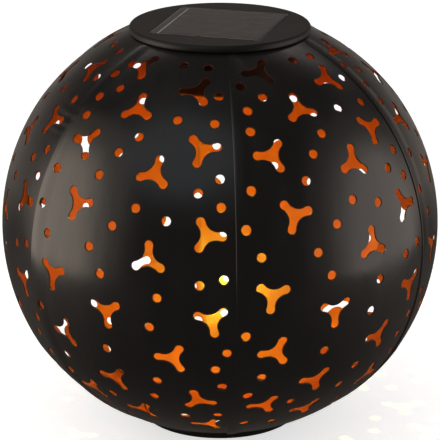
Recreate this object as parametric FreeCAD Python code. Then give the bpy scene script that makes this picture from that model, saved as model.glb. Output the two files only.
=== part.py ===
import FreeCAD, Part
import math
import os
from FreeCAD import Vector

# Garden globe light: a perforated sheet globe with a solar head that drops into its neck.
# Millimetres and degrees. +Z is up, -Y is the front, and the origin is the centre of the base on the
# surface it stands on. A "turn" is an angle about +Z, anticlockwise from above, counted from the front.

# ---- globe: six pressed gores, each lapped over its neighbour
globe_radius = 100.0          # outer face of the sheet
sheet = 0.5
gore_count = 6
first_seam_turn = 4.0
crown_flattening = 2.0        # the crown is curved to a radius this much larger than the globe's
crown_blend_angle = 35.0      # latitude where the crown's curve begins
foot_flattening = 3.3
foot_blend_angle = 30.0       # latitude, south, where the foot's curve begins
lap_turn = 2.0                # width of the raised lap, as an angle
joggle_turn = 0.4             # width of the step that raises the lap
seam_gap_turn = 0.03          # gap between the butted panels under the lap
lap_gap = 0.05                # between a lap and the panel under it
lap_end_clear = 1.5           # the raised lap stops this far from the cover's rim and from the base ring
weld_gap = 0.05               # between the sheet's edges and the rings they are welded to

# ---- cut-outs of one gore, drawn in short straight sides so that the six sheets stay light
dot_radius = 2.0
dot_sides = 6
star_arm = 6.4                # centre of the star to the centre of an arm's round end
star_end_radius = 1.95
star_end_angles = (-80, -27, 27, 80)  # corners of an arm's round end, from the arm's direction
star_waist = 2.75             # centre of the star to the nearest point of its concave sides
punch_reach = 5.0             # a cut-out goes this far past the globe's face, outwards and inwards
# stars: turn from the gore's left seam, latitude, direction of one arm anticlockwise from the right
stars = [
    (15.2, 58.5, 62), (46.7, 52.4, 62), (25.6, 45.6, 95), (11.5, 34.0, 56), (37.3, 29.2, 78),
    (50.7, 36.0, 12), (15.7, 18.8, 12), (38.0, 8.0, 90), (52.8, 14.8, -3), (9.0, -0.8, 23),
    (26.2, -7.2, 34), (54.0, -6.9, 40), (10.6, -16.8, 66), (43.5, -18.5, 58), (24.4, -28.6, 52),
    (49.4, -34.0, 105), (10.4, -37.2, 59), (27.6, -43.0, 57), (51.6, -49.0, 60),
]
# dots: turn from the gore's left seam, latitude
dots = [
    (4.6, 53.8), (6.0, 46.4), (5.9, 40.6), (12.8, 50.2), (41.4, 43.6), (54.2, 43.0), (55.6, 51.0),
    (50.0, 60.4), (37.0, 60.8), (29.8, 38.0), (24.6, 33.2), (20.4, 26.8), (4.5, 25.5), (33.5, 20.2),
    (42.1, 17.8), (27.4, 15.1), (2.6, 16.0), (6.3, 9.1), (21.2, 8.9), (24.8, 2.6), (40.3, -1.6),
    (38.0, -9.7), (51.0, 2.3), (57.0, 3.8), (50.1, 25.0), (56.0, 28.6), (56.3, 21.6), (2.4, -11.3),
    (24.6, -18.4), (57.8, -16.4), (54.8, -21.7), (56.6, -27.8), (7.5, -24.9), (38.1, -26.7),
    (4.2, -31.6), (35.6, -33.6), (19.2, -36.8), (43.7, -43.0), (55.2, -41.8), (5.4, -47.8),
    (17.0, -49.0),
]

# ---- base: a ring the gores are welded to, and a plate laid in it
foot_radius = 36.0            # lower edge of the gores
base_ring_overhang = 0.2      # the ring stands out this far past the gores' edge
base_ring_height = 2.6
base_ring_wall = 1.5
base_flange_width = 5.6
base_flange_thickness = 1.0
base_ring_edge = 0.5          # bevel of the ring's outer lower edge
base_plate_thickness = 0.8
base_plate_gap = 0.2
drain_count = 6
drain_circle_radius = 19.0
drain_radius = 2.5

# ---- neck collar
collar_wall = 0.8
collar_height = 8.0
collar_stand = 0.3            # the collar's top stands this far above the sheet's edge

# ---- head cover: the black disc on top, with the square pocket for the solar panel
cover_overhang = 3.0          # past the collar
cover_plate = 2.2             # above the collar's top
cover_edge_bevel = 0.9
cover_rim_gap = 0.3           # the rim's underside follows the crown at this height
spigot_gap = 0.3              # the spigot in the collar
spigot_wall = 1.4
spigot_depth = 2.8
spigot_housing_gap = 2.0      # between the spigot and the housing that hangs inside it
pocket_side = 51.7
pocket_corner = 0.8
pocket_turn = -16.0           # the panel sits turned in the cover
pocket_floor = 1.2
wire_hole_radius = 2.4

# ---- solar panel
panel_gap = 0.3
panel_sink = 1.0              # the panel's face lies this far below the cover's face
backing_thickness = 0.8
cell_thickness = 0.15
resin_over_cell = 0.25
cell_margin = 2.2             # from the panel's edge to the cells
cell_strips = 4
strip_gap = 0.4

# ---- head housing and its gasket
housing_height = 21.3
housing_wall = 1.8
housing_floor = 2.8
housing_foot_bevel = 1.2
gasket_thickness = 0.8
housing_rim = 1.5             # flat rim of the housing's underside, outside the battery door's corners
post_count = 3
first_post_turn = 180.0
post_radius = 3.7
post_wall_gap = 0.4
boss_radius = 3.2
boss_length = 5.6
post_joint_gap = 0.05

# ---- screws
screw_radius = 1.2
screw_length = 9.0
screw_head_radius = 2.3
screw_head_height = 1.6
screw_seat_depth = 4.0        # plastic between the screw's head and the post's top
screw_hole_gap = 0.3
pilot_gap = 0.05
small_screw_radius = 0.75
small_screw_length = 5.0
small_head_radius = 1.7
small_head_height = 0.9
small_boss_radius = 2.3
cross_width = 0.5             # the cross in a screw's head
cross_share = 0.62            # its length as a share of the head's diameter
cross_depth_share = 0.5

# ---- battery, its bay and its door
battery_diameter = 10.5
battery_length = 44.5
nub_radius = 1.9
nub_length = 0.8
battery_gap = 0.4             # round the battery, to the bay's walls and ceiling
battery_door_gap = 0.3
bay_wall = 1.2
bay_board_gap = 1.65          # between the bay's wall and the circuit board's rear edge
contact_sheet = 0.3
contact_width = 8.0
contact_tab_width = 3.0
contact_rise = 2.6            # the tab stands this far above the bay's ceiling
contact_slot_gap = 0.15
nub_press_height = 0.6
nub_press_radius = 1.5
spring_bow = 3.2              # the bowed strip stands out this far from its blade
spring_strip_width = 5.0
spring_strip_length = 8.0
spring_heel = 0.1             # the bow's free end stays this far off the blade
door_thickness = 1.6
door_ledge = 1.6              # the floor's ledge that the door lies on
door_corner = 4.0
door_gap = 0.25
door_lug_radius = 3.2
door_lug_x = 15.0             # one lug behind the bay on the left, one before it on the right
door_lug_clear = 1.05         # between the bay's wall and a lug's screw boss
door_boss_length = 5.0

# ---- circuit board, switch and lamp
board_size = (28.0, 26.0)
board_rear_y = 3.5
board_thickness = 1.6
board_height = 9.0            # its underside, above the housing's underside
board_post_x = 10.5           # one post near the board's left front corner, one to the right of the lamp
board_post_insets = (3.5, 8.5)  # from the board's front edge, and from its rear edge
board_hole_gap = 0.3
chip_size = (5.0, 4.0, 1.6)
chip_place = (6.0, 12.0)      # places on the board are from its left front corner
coil_radius = 2.6
coil_height = 5.0
coil_place = (14.0, 8.0)
capacitor_size = (3.2, 1.6, 1.4)
capacitor_place = (14.0, 16.0)
led_radius = 2.5
led_flange_radius = 2.9
led_flange_height = 1.0
led_length = 8.6
led_tip_flat = 0.2            # radius of the small flat at the dome's tip
led_hole_gap = 0.15
led_pin_radius = 0.25
led_pin_pitch = 2.54
switch_y = -15.0
switch_size = (8.6, 4.4, 4.0)
switch_wall = 0.8
switch_travel = 2.0
knob_stem = (1.6, 1.6)
knob_flange = (3.4, 2.2, 0.8)
knob_gap = 0.3
knob_reach = 1.2              # the knob stands out this far below the housing

# ---- leads
lead_radius = 0.6
lead_sides = 8
lead_bend = 2.0
lead_clear = 0.4              # between a lead and the post it passes

# ---- worked out from the sizes above
ORIGIN = Vector(0, 0, 0)
UP = Vector(0, 0, 1)
ACROSS = Vector(1, 0, 0)
PAST = 1.0                    # a cutting shape runs this far past the face it opens
FULL_TURN = 360.0
gore_pitch = FULL_TURN / gore_count
crown_radius = globe_radius + crown_flattening
foot_curve_radius = globe_radius + foot_flattening


def zone_centre(radius, latitude):
    """Height of a zone's centre on the axis, from the globe's, if it meets the globe at a latitude."""
    reach = globe_radius * math.cos(math.radians(latitude))
    rise = math.sqrt(radius ** 2 - reach ** 2)
    return globe_radius * math.sin(math.radians(latitude)) - math.copysign(rise, latitude)


# The sheet's curve is three zones, each part of a ball: height of its centre, radius.
crown = (zone_centre(crown_radius, crown_blend_angle), crown_radius)
belly = (0.0, globe_radius)
foot = (zone_centre(foot_curve_radius, -foot_blend_angle), foot_curve_radius)

battery_gap_across = battery_diameter / 2 + battery_gap
board_centre = (0.0, board_rear_y - board_size[1] / 2)
battery_y = board_rear_y + bay_board_gap + bay_wall + battery_gap_across
bay_length = battery_length + spring_bow + nub_press_height + 2 * contact_sheet
bay_width = 2 * battery_gap_across
door_corner_x = bay_length / 2 + door_ledge - door_corner
door_corner_y = battery_y + bay_width / 2 + door_ledge - door_corner
housing_radius = math.hypot(door_corner_x, door_corner_y) + door_corner + housing_rim + housing_foot_bevel
post_circle_radius = housing_radius - housing_wall - post_wall_gap - post_radius
spigot_inner_radius = housing_radius + spigot_housing_gap
spigot_outer_radius = spigot_inner_radius + spigot_wall
collar_inner_radius = spigot_outer_radius + spigot_gap
collar_outer_radius = collar_inner_radius + collar_wall
cover_radius = collar_outer_radius + cover_overhang
neck_angle = math.degrees(math.acos((collar_outer_radius + weld_gap) / (crown_radius - sheet)))
foot_angle = -math.degrees(math.acos(foot_radius / foot_curve_radius))
foot_drop = foot[0] - math.sqrt(foot_curve_radius ** 2 - foot_radius ** 2)
globe_centre = base_ring_height + weld_gap - foot_drop
base_ring_radius = foot_radius + base_ring_overhang


def crown_height(reach):
    """Height of the crown's outer face at a distance from the axis."""
    return globe_centre + crown[0] + math.sqrt(crown_radius ** 2 - reach ** 2)


def crown_reach(height):
    """Distance from the axis where the crown's outer face has a height."""
    return math.sqrt(crown_radius ** 2 - (height - globe_centre - crown[0]) ** 2)


neck_reach = crown_radius * math.cos(math.radians(neck_angle))
collar_top = crown_height(neck_reach) + collar_stand
cover_top = collar_top + cover_plate
panel_thickness = backing_thickness + cell_thickness + resin_over_cell
pocket_depth = panel_sink + panel_thickness
pocket_bottom = cover_top - pocket_depth
cover_underside = pocket_bottom - pocket_floor
housing_top = cover_underside - gasket_thickness
housing_bottom = housing_top - housing_height
floor_top = housing_bottom + housing_floor
boss_bottom = cover_underside - boss_length
post_top = boss_bottom - post_joint_gap
screw_seat = post_top - screw_seat_depth
panel_side = pocket_side - 2 * panel_gap
battery_z = housing_bottom + door_thickness + battery_door_gap + battery_diameter / 2
bay_ceiling = battery_z + battery_diameter / 2 + battery_gap
bay_top = bay_ceiling + bay_wall
board_bottom = housing_bottom + board_height
board_top = board_bottom + board_thickness
switch_bottom = board_bottom - switch_size[2]
switch_centre = (0.0, switch_y)
knob_rest_x = switch_centre[0] + switch_travel / 2
lug_offset = bay_width / 2 + bay_wall + door_lug_clear + small_boss_radius
door_lugs = [(-door_lug_x, battery_y + lug_offset), (door_lug_x, battery_y - lug_offset)]
board_front_y = board_rear_y - board_size[1]
board_posts = [(-board_post_x, board_front_y + board_post_insets[0]),
               (board_post_x, board_rear_y - board_post_insets[1])]


# ---- small helpers
def export(name, solids):
    """Writes one piece, or a group of separate solids, to its own file."""
    shape = solids if isinstance(solids, Part.Shape) else Part.makeCompound(solids)
    shape.exportStep("parts/" + name + ".step")


def at_front(reach, height):
    """Point on the front half of the upright plane through the axis."""
    return Vector(0, -reach, height)


def turned(shape, turn):
    copy = shape.copy()
    copy.rotate(ORIGIN, UP, turn)
    return copy


def ring_of(points):
    """Full revolution of a closed outline of (distance from the axis, height)."""
    corners = [at_front(reach, height) for reach, height in points]
    face = Part.Face(Part.makePolygon(corners + corners[:1]))
    return face.revolve(ORIGIN, UP, FULL_TURN)


def rod(radius, bottom, top, x=0.0, y=0.0):
    return Part.makeCylinder(radius, top - bottom, Vector(x, y, bottom))


def block(size_x, size_y, bottom, top, x=0.0, y=0.0):
    """Upright block centred on (x, y)."""
    return Part.makeBox(size_x, size_y, top - bottom, Vector(x - size_x / 2, y - size_y / 2, bottom))


def rounded_block(size_x, size_y, corner, bottom, top, x=0.0, y=0.0):
    """Upright block with rounded upright edges."""
    solid = block(size_x, size_y, bottom, top, x, y)
    upright = [e for e in solid.Edges if abs(e.tangentAt(e.FirstParameter).z) > 0.9]
    return solid.makeFillet(corner, upright)


def one_solid(shape):
    """The single solid of a finished shape, with its split faces merged."""
    return shape.removeSplitter().Solids[0]


# ---- gores
def zone_meet(upper, lower, offset):
    """Height where the curves of two zones meet, at an offset outwards from the outer face."""
    radii_apart = (lower[1] + offset) ** 2 - (upper[1] + offset) ** 2
    return (radii_apart + upper[0] ** 2 - lower[0] ** 2) / (2 * (upper[0] - lower[0]))


def zone_angle(zone, offset, height):
    """Angle above the horizon, about the zone's centre, of its curve at a height."""
    return math.degrees(math.asin((height - zone[0]) / (zone[1] + offset)))


def zone_arc(zone, offset, start, end):
    """The zone's curve on the upright front plane, between two angles."""
    points = []
    for angle in (start, (start + end) / 2, end):
        reach = (zone[1] + offset) * math.cos(math.radians(angle))
        rise = (zone[1] + offset) * math.sin(math.radians(angle))
        points.append(at_front(reach, globe_centre + zone[0] + rise))
    return Part.Arc(*points).toShape()


def meridian(offset, top, bottom):
    """The sheet's curve from neck to foot, at an offset outwards from its outer face."""
    high, low = zone_meet(crown, belly, offset), zone_meet(belly, foot, offset)
    return [
        zone_arc(crown, offset, top, zone_angle(crown, offset, high)),
        zone_arc(belly, offset, zone_angle(belly, offset, high), zone_angle(belly, offset, low)),
        zone_arc(foot, offset, zone_angle(foot, offset, low), bottom),
    ]


def band(inner, outer, start_turn, turn_span, top=neck_angle, bottom=foot_angle):
    """Part of the shell between two offsets, over a span of turn."""
    inside = meridian(inner, top, bottom)
    outside = meridian(outer, top, bottom)
    neck_end = Part.makeLine(inside[0].Vertexes[0].Point, outside[0].Vertexes[0].Point)
    foot_end = Part.makeLine(inside[-1].Vertexes[-1].Point, outside[-1].Vertexes[-1].Point)
    outline = Part.Wire(Part.__sortEdges__(inside + outside + [neck_end, foot_end]))
    return turned(Part.Face(outline), start_turn).revolve(ORIGIN, UP, turn_span)


def in_plane(radius, angle):
    """Point of a flat outline, by its distance from the outline's centre and its direction."""
    return Vector(radius * math.cos(math.radians(angle)), radius * math.sin(math.radians(angle)), 0)


def flat_face(corners):
    return Part.Face(Part.makePolygon(corners + corners[:1]))


def star_outline():
    """Three arms with round ends, which run into each other in hollows."""
    corners = []
    for along in (0, 120, 240):
        corners += [in_plane(star_arm, along) + in_plane(star_end_radius, along + step)
                    for step in star_end_angles]
        corners.append(in_plane(star_waist, along + 60))
    return flat_face(corners)


def dot_outline():
    """A many-sided dot with the area of a round one."""
    step = FULL_TURN / dot_sides
    share = dot_sides * math.sin(math.radians(step)) / (2 * math.pi)
    return flat_face([in_plane(dot_radius / math.sqrt(share), i * step) for i in range(dot_sides)])


def punched(face, turn, latitude, direction=0.0):
    """A flat cut-out shape, stood on the globe and driven through the sheet."""
    tool = face.copy()
    tool.rotate(ORIGIN, UP, direction)
    tool.translate(UP * (globe_radius - punch_reach))
    tool = tool.extrude(UP * (2 * punch_reach))
    tool.rotate(ORIGIN, ACROSS, 90 - latitude)
    tool.rotate(ORIGIN, UP, turn)
    tool.translate(UP * globe_centre)
    return tool


def punches():
    """Every cut-out of a gore. One near the left seam is cut through both layers of the lap."""
    star = star_outline()
    dot = dot_outline()
    seam = first_seam_turn
    tools = [punched(star, seam + turn, latitude, arm) for turn, latitude, arm in stars]
    for turn, latitude in dots:
        tools.append(punched(dot, seam + turn, latitude))
        half_width = math.degrees(dot_radius / (globe_radius * math.cos(math.radians(latitude))))
        if turn - half_width < lap_turn + joggle_turn:
            tools.append(punched(dot, seam + turn + gore_pitch, latitude))
    return tools


def gore():
    """One sixth of the globe: a panel whose left edge is stepped up and laps its neighbour."""
    seam = first_seam_turn
    lap_top = math.degrees(math.acos((cover_radius + lap_end_clear) / crown_radius))
    lap_bottom = foot_angle + math.degrees(lap_end_clear / foot_curve_radius)
    panel = band(-sheet, 0, seam + lap_turn, gore_pitch - seam_gap_turn)
    lap = band(lap_gap, lap_gap + sheet, seam, lap_turn + joggle_turn, lap_top, lap_bottom)
    step = band(-sheet, lap_gap + sheet, seam + lap_turn, joggle_turn, lap_top, lap_bottom)
    return one_solid(panel.fuse([lap, step]).cut(punches()))


# ---- rings and base
def collar_ring():
    bottom = collar_top - collar_height
    inner, outer = collar_inner_radius, collar_outer_radius
    return ring_of([(inner, bottom), (outer, bottom), (outer, collar_top), (inner, collar_top)])


def base_ring():
    """Ring with an inward flange: the gores stand on its rim and it rests on the flange."""
    outer = base_ring_radius
    inner = outer - base_ring_wall
    flange = inner - base_flange_width
    return ring_of([
        (flange, 0), (outer - base_ring_edge, 0), (outer, base_ring_edge), (outer, base_ring_height),
        (inner, base_ring_height), (inner, base_flange_thickness), (flange, base_flange_thickness),
    ])


def base_plate():
    radius = base_ring_radius - base_ring_wall - base_plate_gap
    plate = rod(radius, base_flange_thickness, base_flange_thickness + base_plate_thickness)
    drain = rod(drain_radius, 0, base_ring_height, 0, -drain_circle_radius)
    return plate.cut([turned(drain, FULL_TURN * i / drain_count) for i in range(drain_count)])


# ---- head
def around_posts(shape):
    """Copies of a shape drawn at the front, one at each of the head's screw posts."""
    return [turned(shape, first_post_turn + FULL_TURN * i / post_count) for i in range(post_count)]


def head_cover():
    rim_bottom = crown_height(cover_radius) + cover_rim_gap
    bevel_start = crown_reach(collar_top - cover_rim_gap)
    spigot_bottom = collar_top - spigot_depth
    disc = ring_of([
        (0, cover_underside), (spigot_inner_radius, cover_underside), (spigot_inner_radius, spigot_bottom),
        (spigot_outer_radius, spigot_bottom), (spigot_outer_radius, collar_top), (bevel_start, collar_top),
        (cover_radius, rim_bottom), (cover_radius, cover_top - cover_edge_bevel),
        (cover_radius - cover_edge_bevel, cover_top), (0, cover_top),
    ])
    boss = rod(boss_radius, boss_bottom, cover_underside, 0, -post_circle_radius)
    disc = disc.fuse(around_posts(boss))
    pocket = rounded_block(pocket_side, pocket_side, pocket_corner, pocket_bottom, cover_top + PAST)
    wire_hole = rod(wire_hole_radius, cover_underside - PAST, cover_top, *cell_lead_hole())
    pilot_top = screw_seat + screw_length + pilot_gap
    pilot = rod(screw_radius + pilot_gap, boss_bottom - PAST, pilot_top, 0, -post_circle_radius)
    return one_solid(disc.cut([turned(pocket, pocket_turn), wire_hole] + around_posts(pilot)))


def cell_lead_hole():
    """Where the panel's leads pass down through the cover, above the circuit board."""
    return board_centre[0] + board_size[0] / 4, board_centre[1]


def cell_blanks():
    """The cells as blocks: equal strips side by side on the backing."""
    cells_side = panel_side - 2 * cell_margin
    strip_width = (cells_side - (cell_strips - 1) * strip_gap) / cell_strips
    bottom = pocket_bottom + backing_thickness
    blanks = []
    for i in range(cell_strips):
        x = -cells_side / 2 + strip_width / 2 + i * (strip_width + strip_gap)
        strip = block(strip_width, cells_side, bottom, bottom + cell_thickness, x)
        blanks.append(turned(strip, pocket_turn))
    return blanks


def panel_layer(bottom, top):
    """One full layer of the solar panel in its pocket."""
    corner = max(pocket_corner - panel_gap, 0.1)
    return turned(rounded_block(panel_side, panel_side, corner, bottom, top), pocket_turn)


def cell_resin():
    bottom = pocket_bottom + backing_thickness
    return panel_layer(bottom, pocket_bottom + panel_thickness).cut(cell_blanks())


def gasket():
    inner = housing_radius - housing_wall
    ring = rod(housing_radius, housing_top, cover_underside)
    return ring.cut(rod(inner, housing_top, cover_underside))


def door_outline(grow, bottom, top):
    """The battery door's plate with its two screw lugs, grown by a clearance."""
    length = bay_length + 2 * door_ledge + 2 * grow
    width = bay_width + 2 * door_ledge + 2 * grow
    plate = rounded_block(length, width, door_corner, bottom, top, 0, battery_y)
    lugs = []
    for x, y in door_lugs:
        lugs.append(rod(door_lug_radius + grow, bottom, top, x, y))
        reach = abs(y - battery_y)
        lugs.append(block(2 * (door_lug_radius + grow), reach, bottom, top, x, (y + battery_y) / 2))
    return one_solid(plate.fuse(lugs))


def contact_slot_x(side):
    """Middle of the contact's sheet, which lies flat on the bay's end wall."""
    return side * (bay_length / 2 - contact_sheet / 2)


def head_housing():
    inner_radius = housing_radius - housing_wall
    cup = ring_of([
        (0, housing_bottom), (housing_radius - housing_foot_bevel, housing_bottom),
        (housing_radius, housing_bottom + housing_foot_bevel), (housing_radius, housing_top),
        (inner_radius, housing_top), (inner_radius, floor_top), (0, floor_top),
    ])
    bay = block(bay_length + 2 * bay_wall, bay_width + 2 * bay_wall, floor_top, bay_top, 0, battery_y)
    solids = [bay.common(rod(housing_radius - housing_wall / 2, floor_top, bay_top))]
    post = rod(post_radius, housing_bottom + housing_foot_bevel, post_top, 0, -post_circle_radius)
    solids += around_posts(post)
    solids += [rod(small_boss_radius, housing_bottom + door_thickness, floor_top + door_boss_length, x, y)
               for x, y in door_lugs]
    solids += [rod(small_boss_radius, floor_top, board_bottom, x, y) for x, y in board_posts]
    return one_solid(cup.fuse(solids).cut(housing_cuts()))


def housing_cuts():
    """Everything that is open in the housing: bay, door seat, screw holes, lamp hole, knob slot."""
    below = housing_bottom - PAST
    cuts = [block(bay_length, bay_width, below, bay_ceiling, 0, battery_y)]
    cuts.append(door_outline(door_gap, below, housing_bottom + door_thickness))
    for side in (-1, 1):
        slot = (contact_sheet + 2 * contact_slot_gap, contact_tab_width + 2 * contact_slot_gap)
        cuts.append(block(*slot, bay_ceiling - PAST, bay_top + PAST, contact_slot_x(side), battery_y))
    cuts += around_posts(rod(screw_radius + screw_hole_gap, below, post_top + PAST, 0, -post_circle_radius))
    cuts += around_posts(rod(screw_head_radius + screw_hole_gap, below, screw_seat, 0, -post_circle_radius))
    pilot = small_screw_radius + pilot_gap
    cuts += [rod(pilot, below, floor_top + door_boss_length + PAST, x, y) for x, y in door_lugs]
    board_pilot = board_top - small_screw_length - pilot_gap
    cuts += [rod(pilot, board_pilot, board_bottom + PAST, x, y) for x, y in board_posts]
    cuts.append(rod(led_radius + led_hole_gap, below, floor_top + PAST))
    slot_length = knob_stem[0] + switch_travel + 2 * knob_gap
    cuts.append(block(slot_length, knob_stem[1] + 2 * knob_gap, below, floor_top + PAST, *switch_centre))
    return cuts


def screw(radius, length, head_radius, head_height, seat, x, y, head_down=True):
    """Screw with its head's flat face at the seat, and a cross cut in the head."""
    way = -1 if head_down else 1
    head_face = seat + way * head_height
    solid = rod(radius, min(seat, seat - way * length), max(seat, seat - way * length), x, y)
    solid = solid.fuse(rod(head_radius, min(seat, head_face), max(seat, head_face), x, y))
    cross_length = 2 * head_radius * cross_share
    cross_end = head_face - way * head_height * cross_depth_share
    bottom, top = min(head_face, cross_end), max(head_face, cross_end)
    cross = [block(cross_length, cross_width, bottom, top, x, y),
             block(cross_width, cross_length, bottom, top, x, y)]
    return solid.cut(cross)


def housing_screws():
    seated = screw(screw_radius, screw_length, screw_head_radius, screw_head_height, screw_seat,
                   0, -post_circle_radius)
    return around_posts(seated)


def small_screws(places, seat, head_down):
    return [screw(small_screw_radius, small_screw_length, small_head_radius, small_head_height, seat,
                  x, y, head_down) for x, y in places]


# ---- battery, contacts and door
def battery_start():
    """Flat end of the battery, towards the spring."""
    return -bay_length / 2 + contact_sheet + spring_bow


def battery():
    start = Vector(battery_start(), battery_y, battery_z)
    barrel = Part.makeCylinder(battery_diameter / 2, battery_length - nub_length, start, ACROSS)
    shoulder = start + ACROSS * (battery_length - nub_length)
    return barrel.fuse(Part.makeCylinder(nub_radius, nub_length, shoulder, ACROSS)).removeSplitter()


def contact_blade(side):
    """Sheet contact on the bay's end wall, with a tab up through the ceiling."""
    x = contact_slot_x(side)
    bottom = housing_bottom + door_thickness + battery_door_gap
    blade = block(contact_sheet, contact_width, bottom, bay_ceiling, x, battery_y)
    tab = block(contact_sheet, contact_tab_width, bay_ceiling, bay_top + contact_rise, x, battery_y)
    return blade.fuse(tab)


def contact_plus():
    """Blade with a pressed bump that meets the battery's nub."""
    blade_face = bay_length / 2 - contact_sheet
    base = Vector(blade_face, battery_y, battery_z)
    bump = Part.makeCone(nub_press_radius, nub_press_radius / 2, nub_press_height, base, -ACROSS)
    return one_solid(contact_blade(1).fuse(bump))


def contact_spring():
    """Blade with a bowed strip that presses on the battery's flat end, fixed at its lower end."""
    blade_face = -bay_length / 2 + contact_sheet
    half = spring_strip_length / 2
    front = battery_y - spring_strip_width / 2
    bows = []
    for inset, heel in ((0.0, 0.0), (contact_sheet, contact_sheet)):
        ends = [Vector(blade_face, front, battery_z - half + heel),
                Vector(blade_face + spring_bow - inset, front, battery_z),
                Vector(blade_face + spring_heel, front, battery_z + half - heel)]
        bows.append(ends)
    outer, inner = bows
    edges = [Part.Arc(*outer).toShape(), Part.Arc(*inner).toShape(),
             Part.makeLine(outer[0], inner[0]), Part.makeLine(outer[2], inner[2])]
    strip = Part.Face(Part.Wire(Part.__sortEdges__(edges))).extrude(Vector(0, spring_strip_width, 0))
    return one_solid(contact_blade(-1).fuse(strip))


def battery_door():
    door = door_outline(0, housing_bottom, housing_bottom + door_thickness)
    cuts = []
    for x, y in door_lugs:
        through = housing_bottom + door_thickness
        cuts.append(rod(small_screw_radius + screw_hole_gap, housing_bottom, through, x, y))
        cuts.append(rod(small_head_radius + screw_hole_gap, housing_bottom - PAST, door_screw_seat(), x, y))
    return one_solid(door.cut(cuts))


def door_screw_seat():
    return housing_bottom + small_head_height + pilot_gap


# ---- circuit
def circuit_board():
    board = block(*board_size, board_bottom, board_top, *board_centre)
    holes = [rod(small_screw_radius + board_hole_gap, board_bottom, board_top, x, y)
             for x, y in board_posts]
    return board.cut(holes)


def board_parts():
    """Charge chip, storage coil and a small capacitor, all on the board's top."""
    left, front = board_centre[0] - board_size[0] / 2, board_centre[1] - board_size[1] / 2
    chip = block(*chip_size[:2], board_top, board_top + chip_size[2],
                 left + chip_place[0], front + chip_place[1])
    coil = rod(coil_radius, board_top, board_top + coil_height, left + coil_place[0], front + coil_place[1])
    capacitor = block(*capacitor_size[:2], board_top, board_top + capacitor_size[2],
                      left + capacitor_place[0], front + capacitor_place[1])
    return [chip, coil, capacitor]


def led():
    """Lamp with a domed end, its flange on the housing's floor and its pins up to the board."""
    flange_top = floor_top + led_flange_height
    dome_drop = math.sqrt(led_radius ** 2 - led_tip_flat ** 2)
    dome_top = flange_top - led_length + dome_drop
    halfway = led_radius * math.sqrt(0.5)
    dome = Part.Arc(at_front(led_tip_flat, dome_top - dome_drop), at_front(halfway, dome_top - halfway),
                    at_front(led_radius, dome_top)).toShape()
    corners = [(led_radius, dome_top), (led_radius, floor_top), (led_flange_radius, floor_top),
               (led_flange_radius, flange_top), (0, flange_top), (0, dome_top - dome_drop),
               (led_tip_flat, dome_top - dome_drop)]
    sides = Part.makePolygon([at_front(*corner) for corner in corners])
    lamp = Part.Face(Part.Wire([dome] + sides.Edges)).revolve(ORIGIN, UP, FULL_TURN)
    pins = [rod(led_pin_radius, flange_top, board_bottom, side * led_pin_pitch / 2) for side in (-1, 1)]
    return one_solid(lamp.fuse(pins))


def switch_body():
    length, width, height = switch_size
    x, y = switch_centre
    case = block(length, width, switch_bottom, board_bottom, x, y)
    room = block(length - 2 * switch_wall, width - 2 * switch_wall, switch_bottom + switch_wall,
                 board_bottom - switch_wall, x, y)
    slot_length = knob_stem[0] + switch_travel + 2 * knob_gap
    slot = block(slot_length, knob_stem[1] + 2 * knob_gap, switch_bottom, board_bottom - switch_wall, x, y)
    return case.cut([room, slot])


def switch_knob():
    """Stem through the floor's slot, with a flange held inside the switch."""
    y = switch_centre[1]
    flange_bottom = switch_bottom + switch_wall + knob_gap
    stem = block(*knob_stem, housing_bottom - knob_reach, flange_bottom + knob_flange[2], knob_rest_x, y)
    flange = block(*knob_flange[:2], flange_bottom, flange_bottom + knob_flange[2], knob_rest_x, y)
    return stem.fuse(flange)


# ---- leads
def lead_section(centre, way, radius):
    """Flat face across a lead, drawn in a few straight sides."""
    corners = [in_plane(radius, FULL_TURN * i / lead_sides) for i in range(lead_sides)]
    face = flat_face(corners)
    face.Placement = FreeCAD.Placement(centre, FreeCAD.Rotation(UP, way))
    return face


def tube(points, radius, bend):
    """Round tube along straight runs joined by tangent bends."""
    points = [Vector(*p) for p in points]
    solids = []
    start = points[0]
    for before, corner, after in zip(points, points[1:], points[2:]):
        back, ahead = (before - corner).normalize(), (after - corner).normalize()
        half = back.getAngle(ahead) / 2
        first = corner + back * (bend / math.tan(half))
        middle = corner + (back + ahead).normalize() * (bend / math.sin(half))
        solids.append(lead_section(start, first - start, radius).extrude(first - start))
        turn = FULL_TURN / 2 - math.degrees(2 * half)
        solids.append(lead_section(first, back, radius).revolve(middle, ahead.cross(back), turn))
        start = corner + ahead * (bend / math.tan(half))
    solids.append(lead_section(start, points[-1] - start, radius).extrude(points[-1] - start))
    return one_solid(solids[0].fuse(solids[1:]))


def cell_leads():
    """Two leads from the panel's underside down to the board's right side."""
    x, y = cell_lead_hole()
    leads = []
    for side in (-1, 1):
        start = x + side * (lead_radius + lead_clear / 2)
        end = x + side * (2 * lead_radius + lead_clear)
        leads.append(tube([(start, y, pocket_bottom), (start, y, cover_underside - 2 * lead_bend),
                           (end, y - lead_bend, board_top + 2 * lead_bend),
                           (end, y - lead_bend, board_top)], lead_radius, lead_bend))
    return leads


def battery_leads():
    """Two leads from the contacts' tabs, over the bay and down to the board's rear corners."""
    leads = []
    over = bay_top + contact_rise - lead_radius
    for side in (-1, 1):
        tab_face = contact_slot_x(side) - side * (contact_sheet / 2)
        board_x = side * (board_size[0] / 2 - 2 * lead_radius)
        board_y = board_centre[1] + board_size[1] / 2 - 2 * lead_radius
        leads.append(tube([(tab_face, battery_y, over), (board_x, battery_y, over),
                           (board_x, board_y, over), (board_x, board_y, board_top)],
                          lead_radius, lead_bend))
    return leads


# ---- the pieces
one_gore = gore()
for i in range(gore_count):
    export("gore_%d" % (i + 1), turned(one_gore, gore_pitch * i))
export("collar_ring", collar_ring())
export("base_ring", base_ring())
export("base_plate", base_plate())

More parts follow.
